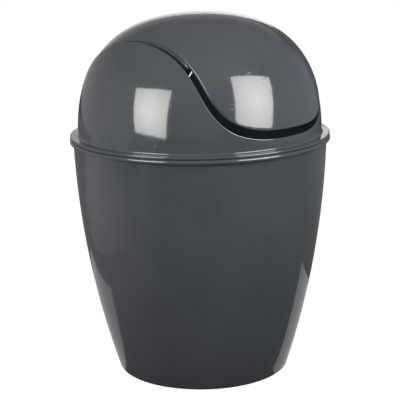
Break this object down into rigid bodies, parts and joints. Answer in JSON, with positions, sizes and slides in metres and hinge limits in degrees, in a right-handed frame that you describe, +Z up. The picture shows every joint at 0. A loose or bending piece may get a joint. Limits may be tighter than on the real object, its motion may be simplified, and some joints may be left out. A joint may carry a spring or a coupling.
{
  "type": "swing-top kitchen trash can",
  "caption": "Round kitchen waste bin: a curved tapering bucket, a lift-off domed hood and a swing flap that opens to the front or the back and closes by its own weight.",
  "frame": {"origin": "centre of the foot ring, on the surface that the bin stands on", "axes": "+Z up along the bin's middle line, +X along the flap's axis, -Y to the front that the picture shows"},
  "size_m": [0.2598, 0.2598, 0.3613],
  "materials": {
    "bucket_plastic": "gloss",
    "hood_plastic": "gloss",
    "flap_plastic": "gloss",
    "pin_plastic": "satin"
  },
  "bodies": {
    "bucket": {"bucket": "bucket_plastic"},
    "hood": {"hood": "hood_plastic", "pivot_pin_left": "pin_plastic", "pivot_pin_right": "pin_plastic"},
    "flap": {"flap": "flap_plastic"}
  },
  "joints": [
    {"name": "hood_lift", "type": "slide", "parent": "bucket", "child": "hood", "axis": [0, 0, 1], "range_m": [0, 0.15]},
    {"name": "flap_swing", "type": "hinge", "parent": "hood", "child": "flap", "pos_m": [0, 0, 0.3267], "axis": [1, 0, 0], "range_deg": [-78.3, 81.7]}
  ]
}
